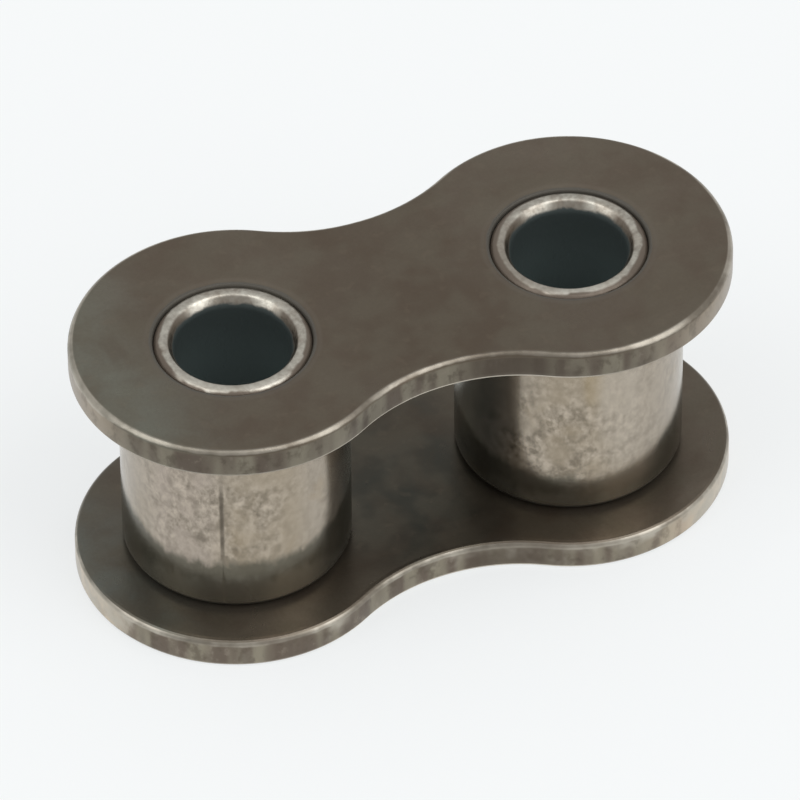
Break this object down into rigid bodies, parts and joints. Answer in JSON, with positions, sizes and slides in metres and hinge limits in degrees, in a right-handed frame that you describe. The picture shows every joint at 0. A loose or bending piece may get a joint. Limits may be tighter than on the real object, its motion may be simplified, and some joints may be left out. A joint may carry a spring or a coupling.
{
  "type": "roller chain inner link",
  "caption": "Inner link of a roller chain: waisted side plates pressed onto bushings that carry free-turning rollers.",
  "frame": {"origin": "midway between the bushing axes, on the lower plate's outer face", "axes": "+X along the pitch from the left bushing to the right one, +Y across the plates, +Z along the bushings"},
  "size_m": [0.0302, 0.0144, 0.0129],
  "materials": {
    "plate_steel": "dark brown oxide from heat treatment, tumbled satin, edges worn bright",
    "bushing_steel": "bright ground end faces",
    "roller_steel": "satin grey, finely pitted"
  },
  "bodies": {
    "frame": {"lower_plate": "plate_steel", "upper_plate": "plate_steel", "left_bushing": "bushing_steel", "right_bushing": "bushing_steel"},
    "roller_left": {"left_roller": "roller_steel"},
    "roller_right": {"right_roller": "roller_steel"}
  },
  "joints": [
    {"name": "left_roller_spin", "type": "hinge", "parent": "frame", "child": "roller_left", "pos_m": [-0.00794, 0, 0.00645], "axis": [0, 0, 1], "continuous": true},
    {"name": "right_roller_spin", "type": "hinge", "parent": "frame", "child": "roller_right", "pos_m": [0.00794, 0, 0.00645], "axis": [0, 0, 1], "continuous": true}
  ]
}
